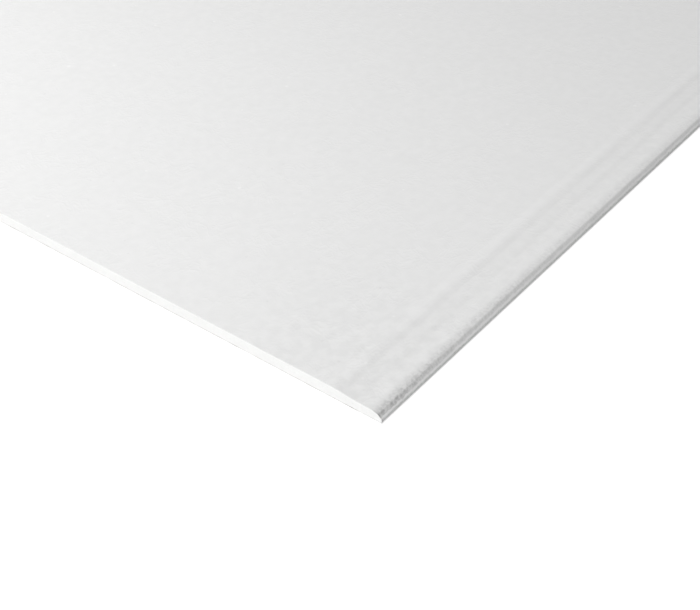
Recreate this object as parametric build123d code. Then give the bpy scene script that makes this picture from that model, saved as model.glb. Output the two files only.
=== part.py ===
from build123d import *
import os

# A gypsum wallboard sheet, lying flat with its face up.
# X runs along the length, Y across the width and Z up through the thickness.
# The origin is at the centre of the underside. Sizes are in millimetres.

# Sheet
board_length = 2500.0
board_width = 1200.0
board_thickness = 12.5

# Liner papers
face_paper_thickness = 0.32
back_paper_thickness = 0.28
fold_under_width = 25.0  # how far the face paper runs back under each long edge
back_paper_inset = 7.0  # from each long edge to the edge of the back paper

# Taper for the joint tape, measured in from the long edge and down from the face
taper_width = 48.0  # to the top of the slope
recess_width = 27.0  # to the foot of the slope, where the recess begins
recess_depth = 2.0  # at the foot of the slope
recess_fall = 0.35  # further fall of the recess towards the edge

# Rounded nose outside the recess
shoulder_width = 9.6  # where the nose begins to fall away
brow_width = 3.6  # where it turns steeper
brow_depth = 3.25  # of the brow below the face
crease_height = 5.0  # of the creased corner above the underside

# Radii of the corners, down the edge from the face to the underside
taper_blend_radius = 80.0
shoulder_radius = 36.0
brow_radius = 3.0
crease_radius = 1.0
fold_radius = 0.9


def section_outline():
    """Section through everything the face paper holds: flat face, two tapered and rounded edges."""
    corners = [
        (taper_width, board_thickness, taper_blend_radius),
        (recess_width, board_thickness - recess_depth, taper_blend_radius),
        (shoulder_width, board_thickness - recess_depth - recess_fall, shoulder_radius),
        (brow_width, board_thickness - brow_depth, brow_radius),
        (0, crease_height, crease_radius),
        (0, back_paper_thickness, fold_radius),
    ]
    one_edge = [(board_width / 2 - inset, height) for inset, height, radius in corners]
    other_edge = [(-across, height) for across, height in reversed(one_edge)]
    radii = [radius for inset, height, radius in corners]
    return make_face(FilletPolyline(*one_edge, *other_edge, radius=radii + radii[::-1], close=True))


def strip(width, bottom, thickness):
    """Section of a flat strip centred on the sheet, standing on the height given."""
    return Pos(0, bottom) * Rectangle(width, thickness, align=(Align.CENTER, Align.MIN))


def run_lengthwise(section):
    """The solid of one section carried along the whole length."""
    return extrude(Plane.YZ * section, amount=board_length / 2, both=True)


outline = section_outline()

# The face paper is one skin of even thickness round the outline, open underneath between its folds.
inside_of_skin = offset(outline, amount=-face_paper_thickness)
underside_opening = strip(board_width - 2 * fold_under_width, back_paper_thickness, face_paper_thickness)
face_paper_section = outline - inside_of_skin - underside_opening

# The core fills the skin and comes down between the folds to the back paper.
core_section = outline - face_paper_section

# The back paper laps over both folds and stops short of the long edges.
back_paper_section = strip(board_width - 2 * back_paper_inset, 0, back_paper_thickness)

sections = {
    "gypsum_core": core_section,
    "face_paper": face_paper_section,
    "back_paper": back_paper_section,
}

os.makedirs("parts", exist_ok=True)
for name, section in sections.items():
    export_step(run_lengthwise(section), f"parts/{name}.step")
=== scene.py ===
"""A gypsum wallboard sheet: wrapped face paper, cast core and lapped back paper, on a pale floor.

The sheet lies flat with its face up. X runs along its length, Y across its width, Z up, in metres.
"""

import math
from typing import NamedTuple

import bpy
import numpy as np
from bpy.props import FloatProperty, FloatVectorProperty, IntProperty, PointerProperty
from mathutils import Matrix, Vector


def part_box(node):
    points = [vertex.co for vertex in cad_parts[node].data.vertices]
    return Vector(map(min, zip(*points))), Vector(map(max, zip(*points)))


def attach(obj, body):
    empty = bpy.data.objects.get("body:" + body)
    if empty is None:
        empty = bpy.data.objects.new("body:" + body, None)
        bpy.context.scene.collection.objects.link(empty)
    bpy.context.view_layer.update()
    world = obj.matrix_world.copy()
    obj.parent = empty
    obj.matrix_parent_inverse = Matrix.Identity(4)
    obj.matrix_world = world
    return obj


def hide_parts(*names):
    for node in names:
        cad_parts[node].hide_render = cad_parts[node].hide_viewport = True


bl_info = {
    "name": "Drywall sheet",
    "version": (1, 0, 0),
    "blender": (4, 5, 0),
    "location": "3D View > Sidebar > Drywall",
    "description": "Builds the papers, the cast core and the studio stage of one drywall sheet",
    "category": "Add Mesh",
}

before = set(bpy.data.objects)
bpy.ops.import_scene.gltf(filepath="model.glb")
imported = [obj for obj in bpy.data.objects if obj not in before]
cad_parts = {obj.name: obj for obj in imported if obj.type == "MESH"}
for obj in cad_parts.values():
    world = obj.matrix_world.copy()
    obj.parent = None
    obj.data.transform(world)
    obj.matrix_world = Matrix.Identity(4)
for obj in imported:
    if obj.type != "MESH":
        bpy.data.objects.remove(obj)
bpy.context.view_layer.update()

MM = 0.001
BODY = "root"
CORE_NODE = "gypsum_core"
FACE_NODE = "face_paper"
BACK_NODE = "back_paper"
CORE_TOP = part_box(CORE_NODE)[1]
FACE_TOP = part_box(FACE_NODE)[1]
BACK_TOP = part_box(BACK_NODE)[1]


# Settings


def setting_maker(kind, **limits):
    """A function that makes settings of one kind, each with a name, a default and a description."""
    return lambda name, default, description: kind(
        name=name, default=default, description=description, **limits
    )


metres = setting_maker(FloatProperty, min=0.0, precision=5, unit="LENGTH")
watts = setting_maker(FloatProperty, min=0.0, unit="POWER")
share = setting_maker(FloatProperty, min=0.0, max=1.0, subtype="FACTOR")
colour = setting_maker(FloatVectorProperty, min=0.0, max=1.0, size=3, subtype="COLOR")


class DrywallSheet(bpy.types.PropertyGroup):
    """Overall sizes, as the solids have them."""

    length: metres("Length", 2 * FACE_TOP.x, "From one cut end to the other")
    width: metres("Width", 2 * FACE_TOP.y, "From one long edge to the other")
    thickness: metres("Thickness", FACE_TOP.z, "From the back to the flat of the face")
    face_paper: metres("Face paper", FACE_TOP.z - CORE_TOP.z, "Thickness of the face paper")
    back_paper: metres("Back paper", BACK_TOP.z, "Thickness of the back paper")
    back_width: metres("Back width", 2 * BACK_TOP.y, "Width of the back paper")


class DrywallEdge(bpy.types.PropertyGroup):
    """The section down one long edge, measured in from the edge and down from the face."""

    taper_width: metres("Taper width", 48.0 * MM, "From the long edge to the top of the slope")
    recess_width: metres("Recess width", 27.0 * MM, "From the long edge to the foot of the slope")
    recess_depth: metres("Recess depth", 2.0 * MM, "Fall from the face to the foot of the slope")
    recess_fall: metres("Recess fall", 0.35 * MM, "Further fall across the recess")
    shoulder_width: metres("Shoulder width", 9.6 * MM, "From the edge to where the nose falls away")
    brow_width: metres("Brow width", 3.6 * MM, "From the edge to where the nose turns steep")
    brow_depth: metres("Brow depth", 3.25 * MM, "Height of the face above the brow")
    crease_height: metres("Crease height", 5.0 * MM, "Height of the creased corner above the back")
    fold_width: metres("Fold width", 25.0 * MM, "How far the face paper runs back under the sheet")
    blend_radius: metres("Blend radius", 80.0 * MM, "Roundness at both ends of the slope")
    shoulder_radius: metres("Shoulder radius", 36.0 * MM, "Roundness of the shoulder")
    brow_radius: metres("Brow radius", 3.0 * MM, "Roundness of the brow")
    crease_radius: metres("Crease radius", 1.0 * MM, "Roundness of the creased corner")
    fold_radius: metres("Fold radius", 0.9 * MM, "Roundness of the fold under the sheet")
    dip_depth: metres("Dip depth", 0.11 * MM, "Depth of the two shallow dips pressed along the taper")
    dip_far: metres("Dips' far side", 47.2 * MM, "From the edge to the far side of the outer dip")
    dip_near: metres("Dips' near side", 17.8 * MM, "From the edge to the near side of the inner dip")
    waver: metres("Waver", 0.07 * MM, "How far the pressed edge wanders inwards along the sheet")
    knock_depth: metres("Knock depth", 0.9 * MM, "How far the brow is knocked in at the near corner")
    knock_length: metres("Knock length", 45.0 * MM, "How far a knock runs along the edge")


class DrywallCut(bpy.types.PropertyGroup):
    """How rough the two cut ends are."""

    fray: metres("Fray", 0.3 * MM, "Depth of the ragged paper edge")
    core_setback: metres("Core setback", 0.2 * MM, "How far the core's cut lies behind the papers'")
    grain: metres("Grain", 0.08 * MM, "Depth of the sawn grain")
    crumble: metres("Crumble", 0.3 * MM, "Depth of the crumbled rims next to the papers")
    pore_depth: metres("Pore depth", 0.42 * MM, "Depth of the opened air bubbles")
    pore_spacing: metres("Pore spacing", 3.4 * MM, "Distance between large air bubbles")


class DrywallLook(bpy.types.PropertyGroup):
    """Colours and strengths of the finishes."""

    face_colour: colour("Face paper", (0.824, 0.824, 0.821), "Smooth white face liner")
    # edge and crease tones: soil from handling and painted shade over the nose, the crease tone on the
    # upright below the crease
    edge_tone: share("Edge tone", 0.07, "How much the handled long edge is dulled")
    crease_tone: share("Crease tone", 0.12, "How much the edge is dulled below its crease")
    corner_soil: share("Corner soil", 0.21, "How much the nose is dulled towards its cut ends")
    brow_soil: share("Brow soil", 0.08, "How much the brow is dulled for some way from its cut ends")
    # painted shade: a broken dark line low on the upright
    upright_painted_shade: share("Dark line", 0.16, "Strength of the broken dark line along the upright")
    scrape: share("Scrape", 0.11, "How dark the scraped line below the brow is at the cut ends")
    smudge: share("Smudge", 0.035, "How much the face is smudged near the corners")
    # darker paper next to the cut, on the nose
    cut_darkening: share("Cut wear", 0.5, "How much the long edge is dulled where it is cut")
    # pale crease line: partly rubbed paper, partly a painted highlight
    crease_wear_and_highlight: share("Crease wear", 0.55, "How far the crease is rubbed pale")
    back_colour: colour("Back paper", (0.41, 0.395, 0.365), "Grey recycled back liner")
    fleck_colour: colour("Flecks", (0.17, 0.15, 0.13), "Dark fibres in the back liner")
    gypsum_colour: colour("Gypsum", (0.89, 0.89, 0.882), "Cast core where it is cut")
    ply_colour: colour("Paper ply", (0.78, 0.768, 0.745), "Grey inner plies at the papers' cut edges")


class DrywallStage(bpy.types.PropertyGroup):
    """Floor, lights and camera."""

    floor_colour: colour("Floor", (0.80, 0.80, 0.80), "Pale studio floor")
    floor_glow: share("Floor glow", 0.55, "How far the floor round the sheet is seen whitened")
    overhead_power: watts("Overhead power", 70.5, "Wide soft lamp high over the middle of the sheet")
    key_power: watts("Key power", 12.9, "Soft lamp above the near cut end")
    side_power: watts("Side power", 13.9, "Soft lamp beyond the near corner")
    low_power: watts("Low power", 14.8, "Soft lamp close to the floor, beyond the near cut end")
    far_power: watts("Far power", 1.5, "Soft lamp over the far half of the sheet")
    end_power: watts("End power", 18.0, "Soft lamp close to the floor, beyond the far cut end")
    sky_strength: share("Sky strength", 0.15, "Strength of the even light all round")
    lens: FloatProperty(
        name="Lens", description="Focal length on a sensor 36 mm wide", default=69.43, min=1.0
    )
    seed: IntProperty(name="Seed", description="Start of every random draw", default=7, min=0)


SETTINGS = {
    "drywall_sheet": DrywallSheet,
    "drywall_edge": DrywallEdge,
    "drywall_cut": DrywallCut,
    "drywall_look": DrywallLook,
    "drywall_stage": DrywallStage,
}


# Shapes

FINE_STEPS = 6  # fine points to each coarse one, for the ragged ends
FACE_STEP = 8.0 * MM
EDGE_STEP = 1.6 * MM
ARC_STEP = math.radians(11.0)
ALONG_STEP = 23.0 * MM
END_DEPTHS = np.array([0.0, 0.6, 1.5, 3.0]) * MM  # of the fine rows behind a cut end

STREAK = (0.19, 0.009)  # length along the sheet and width across it, of the pressed streaks
SWELL = (0.07, 0.02)  # and of the shorter, broader swells
STREAK_SHIFT = 40.0  # keeps the two long edges' streaks apart in the noise
SWELL_SHIFT = 90.0
CALM_LENGTH = 0.03  # behind a cut end, where the pressed edge's waver fades out
LESSER_KNOCK = 0.5  # of the near corner's knock, at the other three
KNOCK_REACH = 8.0 * MM  # from a knock's middle to its sides
CREASE_REACH = 0.5 * MM  # on either side of the crease, where a knock ends
SLIT_DRIFT = 0.35 * MM  # how far the slit edges wander
SLIT_LENGTH = 0.16  # of one wander of them
SLIT_SHIFT = 30.5  # keeps the two slit edges' wanders apart in the noise
TEAR_LENGTH = 0.011
FIBRE_LENGTH = 0.0016

# Added to the seed, so that each surface has draws of its own
FACE_FRAY_SEEDS = (11, 23)
CORE_CUT_SEEDS = (31, 57)
BACK_FRAY_SEEDS = (41, 43)
SLIT_SEED = 71


def soft_noise(u, v, seed):
    """Smooth random heights from -1 to 1 over the plane of u and v, with features one unit wide.

    Each lattice point has a random height, and the four round a point are blended by 3t^2 - 2t^3.
    """
    size = 256
    table = np.random.default_rng(seed).uniform(-1.0, 1.0, (size, size))
    u, v = np.broadcast_arrays(u, v)
    column, row = np.floor(u).astype(int), np.floor(v).astype(int)
    across, up = u - column, v - row
    across, up = across * across * (3 - 2 * across), up * up * (3 - 2 * up)
    next_column, next_row = (column + 1) % size, (row + 1) % size
    column, row = column % size, row % size
    near = table[column, row] * (1 - across) + table[next_column, row] * across
    far = table[column, next_row] * (1 - across) + table[next_column, next_row] * across
    return near * (1 - up) + far * up


def rounded_path(corners, radii, steps):
    """Points and left-hand normals along straight runs joined by tangent arcs.

    An arc of radius r at a corner that turns by a begins and ends r * tan(a / 2) from the corner.
    Each run and arc is divided into a multiple of FINE_STEPS.
    """
    corners = np.array(corners)
    runs = np.diff(corners, axis=0)
    runs /= np.linalg.norm(runs, axis=1)[:, None]
    headings = np.unwrap(np.arctan2(runs[:, 1], runs[:, 0]))
    turns = np.diff(headings)
    setbacks = np.concatenate([[0.0], np.abs(np.tan(turns / 2)) * radii, [0.0]])
    points, angles = [corners[:1]], [headings[:1]]
    for i, heading in enumerate(headings):
        start = corners[i] + runs[i] * setbacks[i]
        end = corners[i + 1] - runs[i] * setbacks[i + 1]
        count = FINE_STEPS * max(1, round(np.linalg.norm(end - start) / steps[i]))
        along = np.linspace(0.0, 1.0, count + 1)[1:, None]
        points.append(start + (end - start) * along)
        angles.append(np.full(count, heading))
        if i < len(turns):
            count = FINE_STEPS * max(2, math.ceil(abs(turns[i]) / ARC_STEP))
            sweep = heading + turns[i] * np.linspace(0.0, 1.0, count + 1)[1:]
            reach = radii[i] * np.sign(turns[i])
            centre = end + reach * np.array([-np.sin(heading), np.cos(heading)])
            points.append(centre + reach * np.stack([np.sin(sweep), -np.cos(sweep)], axis=1))
            angles.append(sweep)
    angles = np.concatenate(angles)
    return np.concatenate(points), np.stack([-np.sin(angles), np.cos(angles)], axis=1)


class Section(NamedTuple):
    """A paper's section, as a ring in Y and Z that runs clockwise seen from +X.

    The ring's first half is the outside of the paper, and its second the inside, backwards.
    """

    ring: np.ndarray
    normals: np.ndarray  # out of the sheet
    along: np.ndarray  # distance along the section: from the crease on the face paper, or else Y


def there_and_back(values):
    """The values in order, and then again backwards."""
    return np.concatenate([values, values[::-1]])


def wrap_section(sheet, edge):
    """The face paper from one fold over the face to the other: a path, and the path set inwards."""
    half_width = sheet.width / 2
    crease = (half_width, edge.crease_height)
    corners = [
        (0.0, sheet.thickness),
        (half_width - edge.taper_width, sheet.thickness),
        (half_width - edge.recess_width, sheet.thickness - edge.recess_depth),
        (half_width - edge.shoulder_width, sheet.thickness - edge.recess_depth - edge.recess_fall),
        (half_width - edge.brow_width, sheet.thickness - edge.brow_depth),
        crease,
        (half_width, sheet.back_paper),
        (half_width - edge.fold_width, sheet.back_paper),
    ]
    radii = [
        edge.blend_radius,
        edge.blend_radius,
        edge.shoulder_radius,
        edge.brow_radius,
        edge.crease_radius,
        edge.fold_radius,
    ]
    steps = [FACE_STEP] + [EDGE_STEP] * (len(corners) - 2)
    points, normals = rounded_path(corners, np.array(radii), steps)
    gaps = np.linalg.norm(np.diff(points, axis=0), axis=1)
    distance = np.concatenate([[0.0], np.cumsum(gaps)])
    at_crease = np.linalg.norm(points - crease, axis=1).argmin()
    past_crease = distance - distance[at_crease]
    mirror = np.array([-1.0, 1.0])
    outside = np.concatenate([points[:0:-1] * mirror, points])
    normals = np.concatenate([normals[:0:-1] * mirror, normals])
    along = np.concatenate([past_crease[:0:-1], past_crease])
    inside = outside - normals * sheet.face_paper
    ring = np.concatenate([outside, inside[::-1]])
    return Section(ring, there_and_back(normals), there_and_back(along))


def back_section(sheet):
    """The back paper: a flat strip, with its outside underneath."""
    count = FINE_STEPS * round(sheet.back_width / FACE_STEP)
    across = np.linspace(0.5, -0.5, count + 1) * sheet.back_width
    under = np.column_stack([across, np.zeros(count + 1)])
    upper = np.column_stack([across, np.full(count + 1, sheet.back_paper)])
    sideways = np.column_stack([np.sign(across), np.zeros(count + 1)])
    ring = np.concatenate([under, upper[::-1]])
    return Section(ring, there_and_back(sideways), there_and_back(across))


def pressed_offset(sheet, edge, section, x, seed):
    """How far the pressed edge lies inside its outline at x, for each point of the ring.

    Two dips run along the taper, each one minus a cosine of the distance from the long edge. Soft
    noise, stretched along the sheet, adds streaks and swells that fade on the face and at the fold.
    """
    across = np.abs(section.ring[:, 0])
    inset = sheet.width / 2 - across
    over = section.along < 0
    turn = np.clip((inset - edge.dip_near) / (edge.dip_far - edge.dip_near), 0.0, 1.0)
    dips = edge.dip_depth * 0.5 * (1.0 - np.cos(4 * math.pi * turn)) * over
    onto_face = np.clip((inset - edge.taper_width) / (0.2 * edge.taper_width), 0.0, 1.0)
    onto_fold = np.clip(section.along / edge.crease_height, 0.0, 1.0)
    fade = (1.0 - onto_face) ** 2 * (1.0 - onto_fold) ** 2
    side = np.sign(section.ring[:, 0])
    streaks = soft_noise(x / STREAK[0], section.along / STREAK[1] + STREAK_SHIFT * side, seed)
    swells = soft_noise(x / SWELL[0], section.along / SWELL[1] + SWELL_SHIFT * side, seed + 1)
    from_end = min(1.0, (sheet.length / 2 - abs(x)) / CALM_LENGTH)
    waver = edge.waver * fade * from_end * (0.5 + 0.32 * streaks + 0.18 * swells)
    return dips * (0.82 + 0.18 * streaks) + waver


def knocked_offset(sheet, edge, section, x):
    """How far the nose is knocked in at x: a cosine bump across the brow, which ends at the crease.

    It falls away along the edge as exp(-d^2), and is less deep at the other three corners.
    """
    brow = math.hypot(edge.brow_width, sheet.thickness - edge.brow_depth - edge.crease_height)
    across = 0.5 + 0.5 * np.cos(math.pi * np.clip((section.along + brow) / KNOCK_REACH, -1.0, 1.0))
    across *= np.clip((CREASE_REACH - section.along) / (2 * CREASE_REACH), 0.0, 1.0)
    along = math.exp(-(((sheet.length / 2 - abs(x)) / edge.knock_length) ** 2))
    at_near_corner = (section.ring[:, 0] < 0) & (x < 0)
    return edge.knock_depth * np.where(at_near_corner, 1.0, LESSER_KNOCK) * across * along


def wrap_offset(sheet, edge, section, x, seed):
    """How far the wrapped paper lies inside its outline at x, presses and knocks together."""
    return pressed_offset(sheet, edge, section, x, seed) + knocked_offset(sheet, edge, section, x)


def slit_offset(sheet, section, x, seed):
    """How far the slit long edges of the back paper wander inwards at x: long soft noise."""
    at_edge = np.abs(section.along) > sheet.back_width / 2 - 0.5 * FACE_STEP / FINE_STEPS
    drift = 0.5 + 0.5 * soft_noise(x / SLIT_LENGTH, SLIT_SHIFT * np.sign(section.along), seed)
    return at_edge * drift * SLIT_DRIFT


def frayed_edge(cut, section, seed):
    """Depth of a cut paper's ragged edge at each point of the ring, from 0 to the fray.

    Long soft noise for tears and short for fibres, a little shallower on the paper's inside.
    """
    place = section.along + np.sign(section.ring[:, 0])
    depth = 0.42 + 0.36 * soft_noise(place / TEAR_LENGTH, 0.5, seed)
    depth += 0.34 * soft_noise(place / FIBRE_LENGTH, 0.5, seed + 1)
    depth[len(depth) // 2 :] *= 0.7
    return cut.fray * np.clip(depth, 0.0, 1.0)


class Skin(NamedTuple):
    """Vertices and faces of a carried section, with each vertex's place in the ring."""

    points: np.ndarray
    sides: list
    rims: list
    place: np.ndarray


def carry_lengthwise(sheet, section, offset_at, frays):
    """A closed skin: a ring carried along X, moved inwards at each row by offset_at(x).

    Near the cut ends a row has every point of the ring, each drawn back by its fray, which fades
    over END_DEPTHS. Between them a row has one point in FINE_STEPS.
    """
    fine = np.arange(len(section.ring))
    half = len(fine) // 2
    coarse = np.concatenate([fine[:half:FINE_STEPS], fine[half::FINE_STEPS]])
    end, inner = sheet.length / 2, sheet.length / 2 - 2 * END_DEPTHS[-1]
    kept = 1 - END_DEPTHS / END_DEPTHS[-1]
    near, far = ([end - depth - fray * part for depth, part in zip(END_DEPTHS, kept)] for fray in frays)
    between = np.linspace(-inner, inner, round(2 * inner / ALONG_STEP))
    rows = [(-x, fine) for x in near]
    rows += [(np.full(len(coarse), x), coarse) for x in between]
    rows += [(x, fine) for x in far[::-1]]
    points = []
    for x, place in rows:
        moved = section.ring - section.normals * offset_at(x.mean())[:, None]
        points.append(np.column_stack([x, moved[place]]))
    starts = np.cumsum([0] + [len(place) for _, place in rows])
    indices = [np.arange(*span) for span in zip(starts[:-1], starts[1:])]
    sides = [faces for pair in zip(indices[:-1], indices[1:]) for faces in join_rings(*pair)]
    rims = [rim_faces(indices[0]), rim_faces(indices[-1])[:, ::-1]]
    return Skin(np.concatenate(points), sides, rims, np.concatenate([place for _, place in rows]))


def join_rings(first, second):
    """Faces between two rings, clockwise seen from +X, the second further along X.

    Where one has FINE_STEPS times the other's points, each face takes in that many short sides.
    """
    if len(first) == len(second):
        return [np.stack([first, second, np.roll(second, -1), np.roll(first, -1)], axis=1)]
    fine, coarse = (first, second) if len(first) > len(second) else (second, first)
    fine_halves, coarse_halves = np.split(fine, 2), np.split(coarse, 2)
    faces = []
    for i in (0, 1):
        fine_half, coarse_half = fine_halves[i], coarse_halves[i]
        spans = np.lib.stride_tricks.sliding_window_view(fine_half, FINE_STEPS + 1)[::FINE_STEPS]
        faces.append(np.column_stack([spans, coarse_half[1:], coarse_half[:-1]]))
        next_fine, next_coarse = fine_halves[1 - i], coarse_halves[1 - i]
        faces.append(np.array([[fine_half[-1], next_fine[0], next_coarse[0], coarse_half[-1]]]))
    return faces if fine is second else [group[:, ::-1] for group in faces]


def rim_faces(row):
    """Quads across a paper's thickness at its end towards -X, between its outside and its inside."""
    outside, inside = np.split(row, 2)
    inside = inside[::-1]
    return np.stack([outside[:-1], outside[1:], inside[1:], inside[:-1]], axis=1)


CORE_COLUMNS = 1900
CORE_ROWS = 19
CORE_CROWDING = 0.65  # how far the columns crowd towards the long edges
CORE_CLEARANCE = 0.25 * MM  # under the papers, away from the cut ends
CORE_RING_DEPTHS = np.array([2.2, 6.0, 120.0]) * MM  # behind a cut end
UPRIGHT_SLACK = 0.001 * MM  # in telling which points lie on the upright side

# Widths of the cut end's features across and up it
GRAIN = (0.0012, 0.0012)
COARSE_GRAIN = (0.0045, 0.003)
SAW_MARK = (0.0021, 0.004)
CRUMB = (0.005, 0.004)
RIM_WIDTH = 1.1 * MM
PORE_TABLE = (1024, 16)  # cells before the pores repeat
LEAST_SETBACK = 0.02 * MM  # of any point of the core's cut


def core_outline(sheet, section, offset):
    """Columns across the core: Y, the height of its underside and the height of its top.

    The top is the inside of the wrapped paper. The bottom is the inside of its folds, and the back
    paper between them. The outermost columns are the two upright sides. Columns are spread by a
    blend of an even step and a sine, so that they crowd towards the long edges.
    """
    inside = np.split(section.ring - section.normals * offset[:, None], 2)[1]
    middle = len(inside) // 2
    spread = np.linspace(-1.0, 1.0, CORE_COLUMNS)
    crowded = np.sin(spread * math.pi / 2)
    across = inside[:, 0].max() * (spread + CORE_CROWDING * (crowded - spread))
    bottom, top = np.zeros(across.shape), np.zeros(across.shape)
    for side, half in ((1, inside[middle::-1]), (-1, inside[middle:])):
        half, here = half * (side, 1), across * side >= 0
        upright = np.flatnonzero(half[:, 0] > half[:, 0].max() - UPRIGHT_SLACK)
        upper, fold = half[: upright[0] + 1], half[upright[-1] :][::-1]
        top[here] = np.interp(np.abs(across[here]), *upper.T)
        bottom[here] = np.interp(np.abs(across[here]), *fold.T, left=sheet.back_paper)
    return across, bottom, top


def cut_depth(cut, across, height, from_rim, seed):
    """How deep a cut end of the core lies behind the papers' ends.

    Grain and saw marks are soft noise. The crumble grows as the square of the nearness to a rim.
    Each pore is a bowl round a random point: its depth falls with the square of the distance.
    """
    grain = 0.6 * soft_noise(across / GRAIN[0], height / GRAIN[1], seed)
    grain += 0.4 * soft_noise(across / COARSE_GRAIN[0], height / COARSE_GRAIN[1], seed + 1)
    saw = 0.25 * soft_noise(across / SAW_MARK[0] + height / SAW_MARK[1], 0.5, seed + 3)
    rim = np.clip(1.0 - from_rim / RIM_WIDTH, 0.0, 1.0) ** 2
    rim = rim * (0.55 + 0.45 * soft_noise(across / CRUMB[0], height / CRUMB[1], seed + 2))
    cell = cut.pore_spacing
    column, row = np.floor(across / cell).astype(int), np.floor(height / cell).astype(int)
    draws = np.random.default_rng(seed + 4).uniform(0.0, 1.0, (*PORE_TABLE, 3))
    bowls = np.zeros(across.shape)
    for step_across, step_up in np.ndindex(3, 3):
        near_column, near_row = column + step_across - 1, row + step_up - 1
        draw = draws[near_column % PORE_TABLE[0], near_row % PORE_TABLE[1]]
        away_across = across - (near_column + draw[..., 0]) * cell
        away_up = height - (near_row + draw[..., 1]) * cell
        radius = cell * (0.12 + 0.26 * draw[..., 2] ** 3)
        bowl = 1.0 - (away_across**2 + away_up**2) / radius**2
        bowls = np.maximum(bowls, np.clip(bowl, 0.0, 1.0) * (0.4 + 0.6 * draw[..., 2]))
    depth = cut.core_setback + cut.grain * (grain + saw) + cut.crumble * rim + cut.pore_depth * bowls
    return np.maximum(depth, LEAST_SETBACK)


def cast_core(sheet, edge, cut, seed):
    """Points and faces of the core: a rough grid on each cut end, and plain sides between them.

    The sides are bands between the grids' borders and three rings behind each. The first ring has
    the end's own outline, and the others are a little smaller, the last without the knocks.
    """
    section = wrap_section(sheet, edge)
    up = np.linspace(0.0, 1.0, CORE_ROWS)[:, None]
    grid = np.arange(CORE_ROWS * CORE_COLUMNS).reshape(CORE_ROWS, CORE_COLUMNS)
    corners = (grid[:-1, :-1], grid[:-1, 1:], grid[1:, 1:], grid[1:, :-1])
    patch = np.stack(corners, axis=2).reshape(-1, 4)
    border = np.concatenate([grid[:-1, 0], grid[-1, :-1], grid[:0:-1, -1], grid[0, :0:-1]])

    def columns(x):
        """Y and Z over a cut across the core at x, and the distance from the papers."""
        across, bottom, top = core_outline(sheet, section, wrap_offset(sheet, edge, section, x, seed))
        height = bottom + (top - bottom) * up
        from_rim = np.minimum(height - bottom, top - height)
        return np.broadcast_to(across, height.shape), height, from_rim

    def ring(x, width, height, clearance):
        """The outline of those columns at x, drawn in all round by the clearance."""
        outline = np.column_stack([width.ravel(), height.ravel()])[border]
        outward = outline - np.array([0.0, sheet.thickness / 2])
        drawn_in = outline - np.clip(outward, -clearance, clearance)
        return np.column_stack([np.full(len(border), x), drawn_in])

    ends, rings = [], []
    first, second, last = CORE_RING_DEPTHS
    for side, offset in zip((-1, 1), CORE_CUT_SEEDS):
        end = side * sheet.length / 2
        width, height, from_rim = columns(end)
        x = end - side * cut_depth(cut, width, height, from_rim, seed + offset)
        ends.append(np.column_stack([x.ravel(), width.ravel(), height.ravel()]))
        rings.append(ring(end - side * first, width, height, 0.0))
        rings.append(ring(end - side * second, width, height, CORE_CLEARANCE))
        width, height, _ = columns(0.0)
        rings.append(ring(end - side * last, width, height, CORE_CLEARANCE))
    ring_index = 2 * grid.size + np.arange(6 * len(border)).reshape(6, -1)
    bands = [border, *ring_index[:3], *ring_index[:2:-1], border + grid.size]
    faces = [patch[:, ::-1], patch + grid.size]
    faces += [band for pair in zip(bands[:-1], bands[1:]) for band in join_rings(*pair)]
    return np.concatenate(ends + rings), faces


def link_mesh(name, points, faces, sharp_degrees=32.0):
    """A smooth-shaded mesh object at the origin, from an array of points and arrays of faces."""
    mesh = bpy.data.meshes.new(name)
    mesh.from_pydata(points, [], [face for group in faces for face in group.tolist()])
    mesh.polygons.foreach_set("use_smooth", np.ones(len(mesh.polygons), bool))
    mesh.set_sharp_from_angle(angle=math.radians(sharp_degrees))
    piece = bpy.data.objects.new(name, mesh)
    bpy.context.scene.collection.objects.link(piece)
    return piece


def link_paper(name, skin, liner):
    """A paper's mesh, with its liner on the sides and its grey plies on the two cut rims."""
    piece = link_mesh(name, skin.points, skin.sides + skin.rims)
    piece.data.materials.append(bpy.data.materials[liner])
    piece.data.materials.append(bpy.data.materials["cut_plies"])
    slots = np.zeros(len(piece.data.polygons), np.int32)
    slots[-sum(len(rim) for rim in skin.rims) :] = 1
    piece.data.polygons.foreach_set("material_index", slots)
    return piece


def finish_piece(piece, node):
    """Puts the piece in the place of its solid, on the sheet's one body."""
    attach(piece, BODY)
    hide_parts(node)


# Shader nodes


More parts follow.
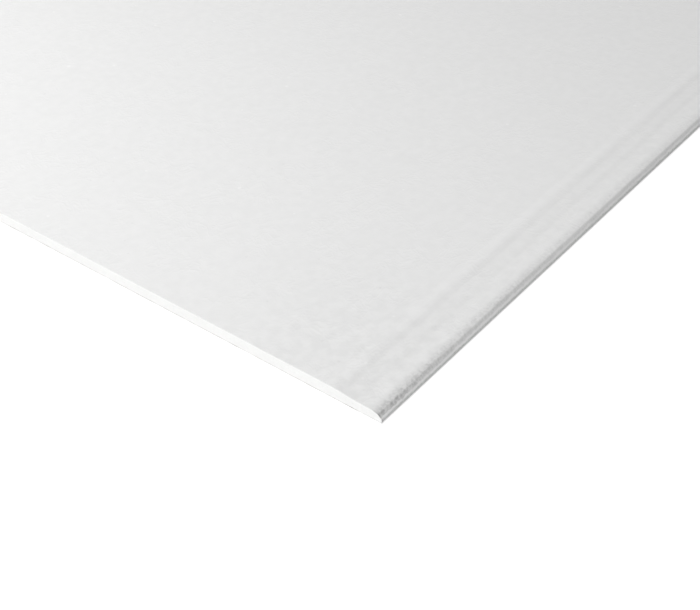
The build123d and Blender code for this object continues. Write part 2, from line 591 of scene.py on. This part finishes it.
class Graph:
    """A node tree that is filled from left to right. Most methods give an output socket."""

    def __init__(self, tree):
        self.tree = tree

    def add(self, kind, inputs=None, **settings):
        """Adds a node, sets its properties, and sets or links the inputs that are given."""
        node = self.tree.nodes.new(kind)
        for name, value in settings.items():
            setattr(node, name, value)
        for name, value in (inputs or {}).items():
            self.feed(node.inputs[name], value)
        return node

    def feed(self, socket, value):
        """Links another node's output, or sets a plain value."""
        if isinstance(value, bpy.types.NodeSocket):
            self.tree.links.new(value, socket)
        else:
            socket.default_value = value

    def math(self, operation, first, second=0.0, third=0.0, clamp=False):
        """A sum, product or other operation on numbers."""
        inputs = {0: first, 1: second, 2: third}
        return self.add("ShaderNodeMath", inputs, operation=operation, use_clamp=clamp).outputs[0]

    def product(self, *factors):
        """All the numbers multiplied."""
        result = factors[0]
        for factor in factors[1:]:
            result = self.math("MULTIPLY", result, factor)
        return result

    def vector(self, operation, first, second):
        """A sum or product of vectors, part by part."""
        return self.add("ShaderNodeVectorMath", {0: first, 1: second}, operation=operation).outputs[0]

    def remap(self, value, low, high, start=0.0, end=1.0, smooth=True):
        """Carries low to high onto start to end, held at both ends."""
        inputs = {"Value": value, 1: low, 2: high, 3: start, 4: end}
        kind = "SMOOTHSTEP" if smooth else "LINEAR"
        return self.add("ShaderNodeMapRange", inputs, interpolation_type=kind).outputs["Result"]

    def band(self, value, centre, outer, inner, strength=1.0):
        """The strength where a value lies within inner of the centre, falling to 0 at outer."""
        away = self.math("ABSOLUTE", self.math("SUBTRACT", value, centre))
        return self.remap(away, outer, inner, 0.0, strength)

    def mix(self, factor, first, second):
        """Blends two colours."""
        inputs = {0: factor, 6: first, 7: second}
        return self.add("ShaderNodeMix", inputs, data_type="RGBA").outputs[2]

    def noise(self, vector, scale, detail=2.0, roughness=0.5, distortion=0.0):
        """Fractal noise from 0 to 1, about 0.5."""
        inputs = {
            "Vector": vector,
            "Scale": scale,
            "Detail": detail,
            "Roughness": roughness,
            "Distortion": distortion,
        }
        return self.add("ShaderNodeTexNoise", inputs).outputs["Fac"]

    def signed(self, value):
        """Carries 0 to 1 onto -1 to 1."""
        return self.math("MULTIPLY_ADD", value, 2.0, -1.0)

    def group(self, name, inputs):
        """Places a shared group and gives its output."""
        node = self.add("ShaderNodeGroup", node_tree=bpy.data.node_groups[name])
        for socket, value in inputs.items():
            self.feed(node.inputs[socket], value)
        return node.outputs[0]

    def attribute(self, name):
        """A number that the mesh's points carry."""
        return self.add("ShaderNodeAttribute", attribute_name=name).outputs["Fac"]


def new_group(name, inputs, output):
    """A shared group with one output: its graph, its inputs by name, and its output's socket.

    An input given without a number is a vector.
    """
    tree = bpy.data.node_groups.new(name, "ShaderNodeTree")
    for socket, default in inputs.items():
        kind = "NodeSocketVector" if default is None else "NodeSocketFloat"
        made = tree.interface.new_socket(socket, in_out="INPUT", socket_type=kind)
        if default is not None:
            made.default_value = default
    tree.interface.new_socket(output, in_out="OUTPUT", socket_type="NodeSocketFloat")
    graph = Graph(tree)
    return graph, graph.add("NodeGroupInput").outputs, graph.add("NodeGroupOutput").inputs[0]


def fibre_group():
    """Thin curling lines, as matted paper fibres make them: the ridges of two fields of noise."""
    inputs = {"Vector": None, "Scale": 500.0, "Fineness": 9.0}
    graph, given, result = new_group("Paper fibres", inputs, "Fibres")
    layers = []
    for offset, factor in (((0.0, 0.0, 0.0), 1.0), ((3.1, 7.7, 1.9), 1.6)):
        moved = graph.vector("ADD", given["Vector"], offset)
        scale = graph.product(given["Scale"], factor)
        value = graph.signed(graph.noise(moved, scale, roughness=0.55, distortion=0.9))
        ridge = graph.math("SUBTRACT", 1.0, graph.math("ABSOLUTE", value), clamp=True)
        layers.append(graph.math("POWER", ridge, given["Fineness"]))
    graph.feed(result, graph.math("MAXIMUM", *layers))


def mottle_group():
    """Cloudy variation at a fine and a broad scale, from -1 to 1."""
    inputs = {"Vector": None, "Fine scale": 260.0, "Broad scale": 9.0, "Broad share": 0.4}
    graph, given, result = new_group("Paper mottle", inputs, "Mottle")
    fine = graph.signed(graph.noise(given["Vector"], given["Fine scale"], detail=3.0, roughness=0.6))
    broad = graph.signed(graph.noise(given["Vector"], given["Broad scale"]))
    mixed = graph.add("ShaderNodeMix", {0: given["Broad share"], 2: fine, 3: broad}, data_type="FLOAT")
    graph.feed(result, mixed.outputs[0])


def streak_group():
    """Lengthwise streaks, as a paper machine and a forming plate leave them, from -1 to 1."""
    inputs = {"Vector": None, "Across scale": 120.0, "Along share": 0.04}
    graph, given, result = new_group("Machine streaks", inputs, "Streaks")
    stretch = graph.add("ShaderNodeCombineXYZ", {"X": given["Along share"], "Y": 1.0, "Z": 1.0})
    stretched = graph.vector("MULTIPLY", given["Vector"], stretch.outputs[0])
    value = graph.noise(stretched, given["Across scale"], detail=3.0, roughness=0.6)
    graph.feed(result, graph.signed(value))


def pore_group():
    """Round spots of mixed size: cells whose own random number sets how wide they open."""
    inputs = {"Vector": None, "Scale": 900.0, "Openness": 0.35}
    graph, given, result = new_group("Pores", inputs, "Pores")
    cells = graph.add("ShaderNodeTexVoronoi", {"Vector": given["Vector"], "Scale": given["Scale"]})
    pick = graph.add("ShaderNodeSeparateColor", {0: cells.outputs["Color"]}).outputs[0]
    radius = graph.product(graph.math("POWER", pick, 3.0), given["Openness"])
    inner = graph.product(radius, 0.55)
    graph.feed(result, graph.remap(cells.outputs["Distance"], radius, inner))


def tone(rgb, factor=1.0):
    """A colour made darker or lighter, as a socket takes it."""
    return tuple(channel * factor for channel in rgb) + (1.0,)


class Finish(Graph):
    """A material's nodes, whose colour is laid down in layers over one base colour.

    The solids' own materials have the slots' names, and are dressed where they are.
    """

    def __init__(self, name, base):
        material = bpy.data.materials.get(name) or bpy.data.materials.new(name)
        material.use_nodes = True
        super().__init__(material.node_tree)
        self.shader = self.tree.nodes["Principled BSDF"]
        self.place = self.add("ShaderNodeTexCoord").outputs["Object"]
        self.base, self.colour = base, tone(base)

    def pattern(self, name, inputs, shift=None):
        """A shared group over the Object coordinates, moved by the shift if there is one."""
        moved = self.vector("ADD", self.place, shift) if shift else self.place
        return self.group(name, {"Vector": moved, **inputs})

    def begin(self, amount, dark, pale):
        """Starts the colour as a blend of two brightnesses of the base."""
        self.colour = self.mix(amount, tone(self.base, dark), tone(self.base, pale))

    def cover(self, paint, *amounts):
        """Covers the colour so far with a paint, by the product of the amounts."""
        self.colour = self.mix(self.product(*amounts), self.colour, paint)

    def shade(self, brightness, *amounts):
        """Covers the colour so far with the base made darker or lighter."""
        self.cover(tone(self.base, brightness), *amounts)

    def dress(self, roughness, specular, relief, depth):
        """Feeds the shader, with a relief of the depth given."""
        bump = self.add("ShaderNodeBump", {"Height": relief, "Distance": depth})
        inputs = {
            "Base Color": self.colour,
            "Roughness": roughness,
            "Specular IOR Level": specular,
            "Normal": bump.outputs["Normal"],
        }
        for name, value in inputs.items():
            self.feed(self.shader.inputs[name], value)


def mm(*values):
    """Sizes in millimetres, as a tuple in metres."""
    return tuple(value * MM for value in values)


SOIL_AND_SHADE = 0.1  # brightness of soil and of painted shade, as a share of the paper's
# pale crease line: partly rubbed paper, partly a painted highlight
RUBBED_AND_HIGHLIGHT_COLOUR = (0.95, 0.95, 0.947)
WANDER = 2.0 * MM  # of the nose's marks, up and down it

# Ramps over the distance past the crease, negative over the face: from none to full
CLOUDS_DEEPEN = mm(-60, -20)
SMUDGES_BEGIN = mm(-250, -40)
NOSE_BEGINS = mm(-15, -7.5)
NOSE_ENDS = mm(6, 5)
UPRIGHT_BEGINS = mm(-0.6, 0.3)
CORNER_SOIL_BEGINS = mm(-12.5, -5)
BROW_SOIL_BEGINS = mm(-14, -6)
BROW_SOIL_ENDS = mm(-2, -4)
ABOVE_CREASE = mm(0.8, -0.4)
CUT_DARKENING_WIDENS = mm(-9, 2)

# Ramps over the distance from the nearer cut end: from none to full
SMUDGED_END = mm(260, 20)
SOILED_END = mm(120, 0)
BROW_SOILED_TO = mm(320, 180)
BROW_SOILED_FROM = mm(10, 45)
SCRAPED_END = mm(45, 15)
RIDGE_CLIMBS = mm(0, 350)

# Lines along the nose: middle, past the crease, and where they end and are full on either side
SCRAPE = mm(-4.4, 1.7, 0.5)
# painted shade low on the upright
UPRIGHT_PAINTED_SHADE_LINE = mm(1.7, 1, 0.3)
RIDGE = mm(0, 1.6, 0.5)
RIDGE_RISE = mm(0.5, 1.2)  # above the crease, at the cut end and where it has climbed
CUT_DARKENING_LENGTH = mm(0.9, 2.4)  # of the darkening from the cut, on the nose and on the upright

HAIR_PAINTED_SHADE_AND_HIGHLIGHT = (  # painted shade and painted highlight of the hairs that stand up a little: shift of the pattern, brightness
    (mm(0, 0, 0), 0.9),
    (mm(1.5, 0.8, 0), 1.07),
)
SPECKS = (  # shift of the pattern, scale, openness, strength, brightness
    ((0.0, 0.0, 0.0), 62.0, 0.16, 0.7, 1.08),
    ((0.31, 0.17, 0.05), 80.0, 0.15, 0.5, 0.9),
)
TAPER_PAINTED_SHADE_AND_HIGHLIGHT = (  # painted shade on the taper's slope and a painted highlight along its top: distance from the crease, half width, strength, brightness
    (*mm(30.1, 4.5), 0.022, 0.1),
    (*mm(44.8, 5), 0.036, 0.1),
    (*mm(55, 6), 0.2, 1.1),
)

# Depth of each finish's relief
FACE_RELIEF, PLY_RELIEF, BACK_RELIEF, GYPSUM_RELIEF = mm(0.02, 0.06, 0.04, 0.08)


class FaceFinish(Finish):
    """The face liner's nodes: what its layers read, and the layers themselves."""

    def __init__(self, look):
        super().__init__("face_liner", look.face_colour)
        self.look = look
        self.streaks = self.pattern("Machine streaks", {})
        self.past_crease = self.attribute("past_crease")  # along the section, negative over the face
        self.from_cut = self.attribute("from_cut")  # distance from the nearer cut end
        wander = self.math("MULTIPLY_ADD", self.noise(self.place, 170.0), 2 * WANDER, -WANDER)
        self.past = self.math("ADD", self.past_crease, wander)
        above = self.remap(self.past, *NOSE_BEGINS)
        below = self.remap(self.past_crease, *NOSE_ENDS)
        self.nose = self.product(above, below)  # 1 on the nose and the upright

    def formation(self, fibres):
        """The paper itself: clouds that deepen towards the long edge, faint streaks, matted fibres."""
        clouds = self.signed(self.noise(self.place, 105.0))
        depth = self.remap(self.past_crease, *CLOUDS_DEEPEN, 0.36, 0.62)
        self.begin(self.math("MULTIPLY_ADD", clouds, depth, 0.5, clamp=True), 0.93, 1.07)
        self.shade(0.975, self.remap(self.streaks, -0.7, 0.7, 0.0, 0.3))
        self.shade(0.96, fibres, 0.25)

    def painted_hair_shading_and_specks(self):
        """Painted shade and painted highlight on hairs: a dark copy, and a pale copy offset towards the
        lamps; and small round specks.
        """
        scattered = self.remap(self.noise(self.place, 30.0, detail=1.0), 0.42, 0.62, 0.1, 0.52)
        for shift, brightness in HAIR_PAINTED_SHADE_AND_HIGHLIGHT:
            hairs = self.pattern("Paper fibres", {"Scale": 45.0, "Fineness": 22.0}, shift)
            # painted shade on the hairs, then a painted highlight offset towards the lamps
            self.shade(brightness, hairs, scattered)
        for shift, scale, openness, strength, brightness in SPECKS:
            specks = self.pattern("Pores", {"Scale": scale, "Openness": openness}, shift)
            self.shade(brightness, specks, strength)

    def taper_painted_shade_and_highlight(self):
        """Painted shade in two faint lines on the taper's slope and a painted highlight along its top,
        which come and go with the streaks.
        """
        uneven = self.remap(self.streaks, -0.4, 0.4, 0.65, 1.25)
        for centre, half_width, strength, brightness in TAPER_PAINTED_SHADE_AND_HIGHLIGHT:
            line = self.band(self.past_crease, -centre, half_width, 0.2 * half_width, strength)
            # painted shade on the slope, and at 55 mm a painted highlight along the taper's top
            self.shade(brightness, line, uneven)

    def smudges(self):
        """Patches of soil on the face near its corners."""
        near_edge = self.remap(self.past_crease, *SMUDGES_BEGIN)
        near_end = self.remap(self.from_cut, *SMUDGED_END)
        patches = self.remap(self.noise(self.place, 95.0), 0.38, 0.62, 0.3, 1.7)
        self.shade(SOIL_AND_SHADE, near_edge, near_end, patches, self.look.smudge)

    def nose_soil_and_shade(self):
        """Blotched soil and painted shade all along the nose, darker below the crease, and more soil
        towards the cut ends, above the crease.
        """
        look, past, from_cut = self.look, self.past, self.from_cut
        blotches = self.remap(self.noise(self.place, 380.0), 0.36, 0.64, 0.6, 1.4)
        # painted shade with soil over the nose, darker on the upright below the crease
        soiled_and_shaded = self.remap(past, *UPRIGHT_BEGINS, look.edge_tone, look.crease_tone)
        self.shade(SOIL_AND_SHADE, self.nose, blotches, soiled_and_shaded)
        by_end = self.product(
            self.remap(from_cut, *SOILED_END, 0.0, look.corner_soil),
            self.remap(past, *CORNER_SOIL_BEGINS),
        )
        on_brow = self.product(
            self.remap(past, *BROW_SOIL_BEGINS),
            self.remap(past, *BROW_SOIL_ENDS),
            self.remap(from_cut, *BROW_SOILED_TO),
            self.remap(from_cut, *BROW_SOILED_FROM),
            look.brow_soil,
        )
        scraped = self.product(
            self.band(past, *SCRAPE),
            self.remap(from_cut, *SCRAPED_END, 0.0, look.scrape),
        )
        soil = self.math("ADD", self.math("ADD", by_end, on_brow), scraped)
        self.shade(SOIL_AND_SHADE, soil, self.remap(past, *ABOVE_CREASE), blotches)

    def nose_marks(self):
        """Small scuffs, painted shade as a broken dark line low on the upright, and darkening where the
        nose is cut.
        """
        scuffs = self.pattern("Pores", {"Scale": 300.0, "Openness": 0.55})
        self.shade(0.4, scuffs, self.nose, 0.12)
        gaps = self.remap(self.noise(self.place, 330.0, detail=1.0), 0.42, 0.6)
        # painted shade: a broken dark line low on the upright
        self.shade(SOIL_AND_SHADE, self.band(self.past, *UPRIGHT_PAINTED_SHADE_LINE), self.look.upright_painted_shade, gaps)
        reach = self.remap(self.past_crease, *CUT_DARKENING_WIDENS, *CUT_DARKENING_LENGTH, smooth=False)
        at_cut = self.math("SUBTRACT", 1.0, self.math("DIVIDE", self.from_cut, reach), clamp=True)
        # darker next to the cut, on the nose and the upright
        self.shade(SOIL_AND_SHADE, at_cut, self.nose, self.look.cut_darkening)

    def rubbed_crease_and_highlight(self):
        """A pale uneven ridge along the crease, partly rubbed paper and partly a painted highlight,
        which climbs a little away from the cut ends.
        """
        climb = self.remap(self.from_cut, *RIDGE_CLIMBS, *RIDGE_RISE, smooth=False)
        ridge = self.band(self.math("ADD", self.past, climb), *RIDGE)
        uneven = self.remap(self.streaks, -0.5, 0.1, 0.6, 1.0)
        # partly rubbed paper, partly a painted highlight along the crease
        self.cover(tone(RUBBED_AND_HIGHLIGHT_COLOUR), ridge, uneven, self.look.crease_wear_and_highlight)


def face_liner(look):
    """Smooth white liner, with a soiled long edge, and painted shade and painted highlights on its
    nose, taper and hairs.
    """
    liner = FaceFinish(look)
    mottle = liner.pattern("Paper mottle", {"Fine scale": 240.0})
    fibres = liner.pattern("Paper fibres", {"Scale": 420.0})
    liner.formation(fibres)
    liner.painted_hair_shading_and_specks()
    liner.taper_painted_shade_and_highlight()
    liner.smudges()
    liner.nose_soil_and_shade()
    liner.nose_marks()
    liner.rubbed_crease_and_highlight()
    relief = liner.math("MULTIPLY_ADD", fibres, 0.5, liner.product(mottle, 0.9))
    relief = liner.math("MULTIPLY_ADD", liner.streaks, 0.35, relief)
    liner.dress(liner.remap(mottle, -0.8, 0.8, 0.70, 0.62), 0.35, relief, FACE_RELIEF)


def cut_plies(look):
    """The papers' cut edges: grey plies with short torn fibres."""
    plies = Finish("cut_plies", look.ply_colour)
    fibres = plies.pattern("Paper fibres", {"Scale": 1500.0, "Fineness": 4.0})
    mottle = plies.pattern("Paper mottle", {"Fine scale": 800.0})
    plies.begin(plies.remap(mottle, -0.6, 0.6), 0.85, 1.1)
    plies.cover(tone(look.face_colour, 0.95), fibres)
    relief = plies.math("ADD", fibres, mottle)
    plies.dress(plies.remap(fibres, 0.0, 1.0, 0.9, 0.8), 0.2, relief, PLY_RELIEF)


def back_liner(look):
    """Coarse recycled liner: clouded grey, matted pale fibres, dark flecks and long streaks."""
    liner = Finish("back_liner", look.back_colour)
    clouds = {"Fine scale": 150.0, "Broad scale": 6.0, "Broad share": 0.45}
    mottle = liner.pattern("Paper mottle", clouds)
    fibres = liner.pattern("Paper fibres", {"Scale": 330.0, "Fineness": 12.0})
    streaks = liner.pattern("Machine streaks", {"Across scale": 70.0})
    flecks = liner.pattern("Pores", {"Scale": 260.0, "Openness": 0.3})
    liner.begin(liner.remap(mottle, -0.6, 0.6), 0.88, 1.1)
    liner.shade(0.9, liner.remap(streaks, -0.6, 0.7, 0.0, 0.45))
    liner.shade(1.35, fibres, 0.4)
    liner.cover(tone(look.fleck_colour), flecks, 0.7)
    relief = liner.math("MULTIPLY_ADD", fibres, 0.8, liner.product(mottle, 0.8))
    liner.dress(liner.remap(mottle, -0.8, 0.8, 0.86, 0.74), 0.25, relief, BACK_RELIEF)


def gypsum(look):
    """Cast gypsum at a cut: chalky white, slightly clouded, with small opened bubbles and grit."""
    cast = Finish("gypsum", look.gypsum_colour)
    large = cast.pattern("Pores", {"Scale": 700.0, "Openness": 0.5})
    small = cast.pattern("Pores", {"Scale": 1900.0, "Openness": 0.5})
    pores = cast.math("MAXIMUM", large, cast.product(small, 0.6))
    mottle = cast.pattern("Paper mottle", {"Fine scale": 330.0, "Broad scale": 30.0})
    cast.begin(cast.remap(mottle, -0.6, 0.6), 0.975, 1.015)
    # painted shade in the opened bubbles
    cast.shade(0.75, pores, 0.35)
    grit = cast.noise(cast.place, 2600.0, detail=3.0, roughness=0.7)
    relief = cast.math("SUBTRACT", cast.product(grit, 0.6), pores)
    cast.dress(cast.remap(mottle, -0.8, 0.8, 0.95, 0.86), 0.2, relief, GYPSUM_RELIEF)


# Operators


class DRYWALL_OT_finishes(bpy.types.Operator):
    """Make the node groups and the materials"""

    bl_idname = "drywall.finishes"
    bl_label = "Finishes"

    def execute(self, context):
        for make in (fibre_group, mottle_group, streak_group, pore_group):
            make()
        for make in (face_liner, cut_plies, back_liner, gypsum):
            make(context.scene.drywall_look)
        return {"FINISHED"}


class DRYWALL_OT_face_paper(bpy.types.Operator):
    """Wrap the face paper over the face, round both long edges and under the back"""

    bl_idname = "drywall.face_paper"
    bl_label = "Face paper"

    def execute(self, context):
        scene = context.scene
        sheet, edge, seed = scene.drywall_sheet, scene.drywall_edge, scene.drywall_stage.seed
        section = wrap_section(sheet, edge)
        skin = carry_lengthwise(
            sheet,
            section,
            lambda x: wrap_offset(sheet, edge, section, x, seed),
            [frayed_edge(scene.drywall_cut, section, seed + k) for k in FACE_FRAY_SEEDS],
        )
        piece = link_paper("face_paper_wrap", skin, "face_liner")
        from_cut = sheet.length / 2 - np.abs(skin.points[:, 0])
        for name, values in (("past_crease", section.along[skin.place]), ("from_cut", from_cut)):
            attribute = piece.data.attributes.new(name, "FLOAT", "POINT")
            attribute.data.foreach_set("value", values.astype(np.float32))
        finish_piece(piece, FACE_NODE)
        return {"FINISHED"}


class DRYWALL_OT_gypsum_core(bpy.types.Operator):
    """Cast the core and roughen its two cut ends"""

    bl_idname = "drywall.gypsum_core"
    bl_label = "Gypsum core"

    def execute(self, context):
        scene = context.scene
        seed = scene.drywall_stage.seed
        points, faces = cast_core(scene.drywall_sheet, scene.drywall_edge, scene.drywall_cut, seed)
        piece = link_mesh("gypsum_core_cast", points, faces, sharp_degrees=60.0)
        piece.data.materials.append(bpy.data.materials["gypsum"])
        finish_piece(piece, CORE_NODE)
        return {"FINISHED"}


class DRYWALL_OT_back_paper(bpy.types.Operator):
    """Lay the back paper over both folds"""

    bl_idname = "drywall.back_paper"
    bl_label = "Back paper"

    def execute(self, context):
        scene = context.scene
        sheet, seed = scene.drywall_sheet, scene.drywall_stage.seed
        section = back_section(sheet)
        skin = carry_lengthwise(
            sheet,
            section,
            lambda x: slit_offset(sheet, section, x, seed + SLIT_SEED),
            [frayed_edge(scene.drywall_cut, section, seed + k) for k in BACK_FRAY_SEEDS],
        )
        piece = link_paper("back_paper_lap", skin, "back_liner")
        finish_piece(piece, BACK_NODE)
        return {"FINISHED"}


NEAR_CORNER = Vector((-FACE_TOP.x, -FACE_TOP.y, 0.0))
CAMERA_FROM_CORNER = Vector((-0.6274, -0.4505, 0.7507))
CAMERA_PITCH = 39.154  # degrees down
CAMERA_YAW = 37.545  # degrees from +X towards +Y
FLOOR_REACH = 30.0
FLOOR_WHITENS = (1.5, 3.2)  # from the sheet's middle: from the glow round the sheet to white

# Lamps are aimed at these, measured from the near corner
CORNER_FACE = (0.25, 0.25, 0.0)
SHEET_MIDDLE = (1.25, 0.6, 0.0)
FAR_HALF = (2.0, 0.6, 0.0)
FAR_END = (2.5, 0.6, 0.0)


class Lamp(NamedTuple):
    """A square lamp, and where it hangs seen from what it is aimed at."""

    name: str
    power: str  # the stage's setting
    aim: tuple
    azimuth: float  # degrees from +X towards +Y
    elevation: float  # degrees up
    distance: float
    size: float
    spread: float = 180.0  # degrees


LAMPS = (
    Lamp("overhead_lamp", "overhead_power", SHEET_MIDDLE, 90.0, 85.0, 4.0, 3.0),
    Lamp("key_lamp", "key_power", CORNER_FACE, 125.0, 45.0, 1.6, 1.1),
    Lamp("side_lamp", "side_power", CORNER_FACE, 215.0, 25.0, 2.4, 1.1),
    Lamp("low_lamp", "low_power", CORNER_FACE, 195.0, 10.0, 2.4, 1.1),
    Lamp("far_lamp", "far_power", FAR_HALF, 90.0, 85.0, 1.5, 1.2, spread=60.0),
    Lamp("end_lamp", "end_power", FAR_END, 345.0, 8.0, 2.4, 1.5),
)


def hang_lamp(lamp, power):
    """Puts a lamp in its place, facing what it is aimed at."""
    data = bpy.data.lights.new(lamp.name, "AREA")
    data.energy, data.size, data.spread = power, lamp.size, math.radians(lamp.spread)
    turn, rise = math.radians(lamp.azimuth), math.radians(lamp.elevation)
    away = Vector((math.cos(rise) * math.cos(turn), math.cos(rise) * math.sin(turn), math.sin(rise)))
    piece = bpy.data.objects.new(lamp.name, data)
    bpy.context.scene.collection.objects.link(piece)
    piece.location = NEAR_CORNER + Vector(lamp.aim) + away * lamp.distance
    piece.rotation_euler = away.to_track_quat("Z", "Y").to_euler()


def seen_directly(graph):
    """1 for rays that see the stage directly, in a mirror or through glass, and 0 for its light."""
    path = graph.add("ShaderNodeLightPath").outputs
    seen = graph.math("MAXIMUM", path["Is Camera Ray"], path["Is Glossy Ray"])
    return graph.math("MAXIMUM", seen, path["Is Transmission Ray"])


def lay_floor(stage):
    """A wide pale floor that keeps the sheet's soft shadow, and is seen white far from it."""
    square = np.array([(-1, -1, 0), (1, -1, 0), (1, 1, 0), (-1, 1, 0)]) * FLOOR_REACH
    floor = link_mesh("floor", square, [np.array([[0, 1, 2, 3]])])
    finish = Finish("floor", stage.floor_colour)
    inputs = finish.shader.inputs
    inputs["Base Color"].default_value = finish.colour
    inputs["Roughness"].default_value = 0.9
    inputs["Specular IOR Level"].default_value = 0.0
    inputs["Emission Color"].default_value = (1.0, 1.0, 1.0, 1.0)
    away = finish.add("ShaderNodeVectorMath", {0: finish.place}, operation="LENGTH")
    whitened = finish.remap(away.outputs["Value"], *FLOOR_WHITENS, stage.floor_glow, 1.0)
    finish.feed(inputs["Emission Strength"], finish.product(seen_directly(finish), whitened))
    floor.data.materials.append(bpy.data.materials["floor"])


def hang_sky(scene, stage):
    """White where it is seen, and a weaker even light all round."""
    world = bpy.data.worlds.new("studio")
    world.use_nodes = True
    graph = Graph(world.node_tree)
    background = world.node_tree.nodes["Background"]
    background.inputs["Color"].default_value = (1.0, 1.0, 1.0, 1.0)
    strength = graph.remap(seen_directly(graph), 0.0, 1.0, stage.sky_strength, 1.0, smooth=False)
    graph.feed(background.inputs["Strength"], strength)
    scene.world = world


def place_camera(scene, stage):
    """The camera of the photo, from the near corner."""
    data = bpy.data.cameras.new("camera")
    data.lens, data.sensor_width = stage.lens, 36.0
    data.clip_start, data.clip_end = 0.05, 60.0
    camera = bpy.data.objects.new("camera", data)
    scene.collection.objects.link(camera)
    camera.location = NEAR_CORNER + CAMERA_FROM_CORNER
    camera.rotation_euler = (math.radians(90.0 - CAMERA_PITCH), 0.0, math.radians(CAMERA_YAW - 90.0))
    scene.camera = camera


class DRYWALL_OT_stage(bpy.types.Operator):
    """Set up the floor, the lights and the camera"""

    bl_idname = "drywall.stage"
    bl_label = "Stage"

    def execute(self, context):
        scene, stage = context.scene, context.scene.drywall_stage
        lay_floor(stage)
        hang_sky(scene, stage)
        for lamp in LAMPS:
            hang_lamp(lamp, getattr(stage, lamp.power))
        place_camera(scene, stage)
        scene.view_settings.view_transform = "Standard"
        return {"FINISHED"}


class DRYWALL_PT_panel(bpy.types.Panel):
    """Builds the sheet piece by piece and lists its sizes"""

    bl_label = "Drywall sheet"
    bl_idname = "DRYWALL_PT_panel"
    bl_space_type = "VIEW_3D"
    bl_region_type = "UI"
    bl_category = "Drywall"

    def draw(self, context):
        for operator in OPERATORS:
            self.layout.operator(operator.bl_idname)
        for name, group in SETTINGS.items():
            box = self.layout.box()
            for setting in group.__annotations__:
                box.prop(getattr(context.scene, name), setting)


OPERATORS = (
    DRYWALL_OT_finishes,
    DRYWALL_OT_face_paper,
    DRYWALL_OT_gypsum_core,
    DRYWALL_OT_back_paper,
    DRYWALL_OT_stage,
)
CLASSES = (*SETTINGS.values(), *OPERATORS, DRYWALL_PT_panel)


def register():
    for item in CLASSES:
        bpy.utils.register_class(item)
    for name, group in SETTINGS.items():
        setattr(bpy.types.Scene, name, PointerProperty(type=group))


def unregister():
    for name in SETTINGS:
        delattr(bpy.types.Scene, name)
    for item in reversed(CLASSES):
        bpy.utils.unregister_class(item)


def main():
    register()
    bpy.ops.drywall.finishes()
    bpy.ops.drywall.face_paper()
    bpy.ops.drywall.gypsum_core()
    bpy.ops.drywall.back_paper()
    bpy.ops.drywall.stage()


if __name__ == "__main__":
    main()
